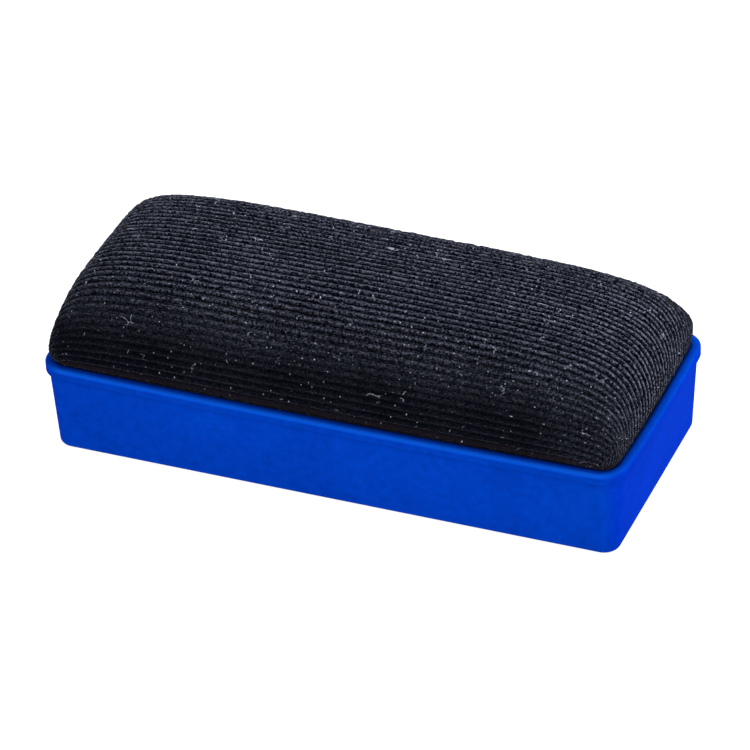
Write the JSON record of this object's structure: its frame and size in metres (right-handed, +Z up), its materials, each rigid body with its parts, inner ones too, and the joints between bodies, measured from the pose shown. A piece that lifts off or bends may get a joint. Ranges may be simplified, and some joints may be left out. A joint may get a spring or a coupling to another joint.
{
  "type": "chalkboard eraser",
  "caption": "Handheld chalkboard eraser: a crowned corduroy-covered foam pad pressed into a moulded plastic tray that serves as the grip.",
  "frame": {"origin": "centre of the tray's flat base, on the surface that the eraser stands on", "axes": "+X along the length, +Y across the width, +Z up from the tray's base to the crown of the pad"},
  "size_m": [0.15, 0.0656, 0.048],
  "materials": {
    "blue_plastic": "satin",
    "hardboard": "matte",
    "dried_adhesive": "satin",
    "foam": "matte",
    "black_corduroy": "matte",
    "staple_wire": "satin",
    "hot_melt_glue": "satin"
  },
  "bodies": {
    "root": {"handle_tray": "blue_plastic", "backing_board": "hardboard", "foam_adhesive": "dried_adhesive", "foam_pad": "foam", "corduroy_cover": "black_corduroy", "cover_staples": "staple_wire", "glue_dabs": "hot_melt_glue"}
  },
  "joints": []
}
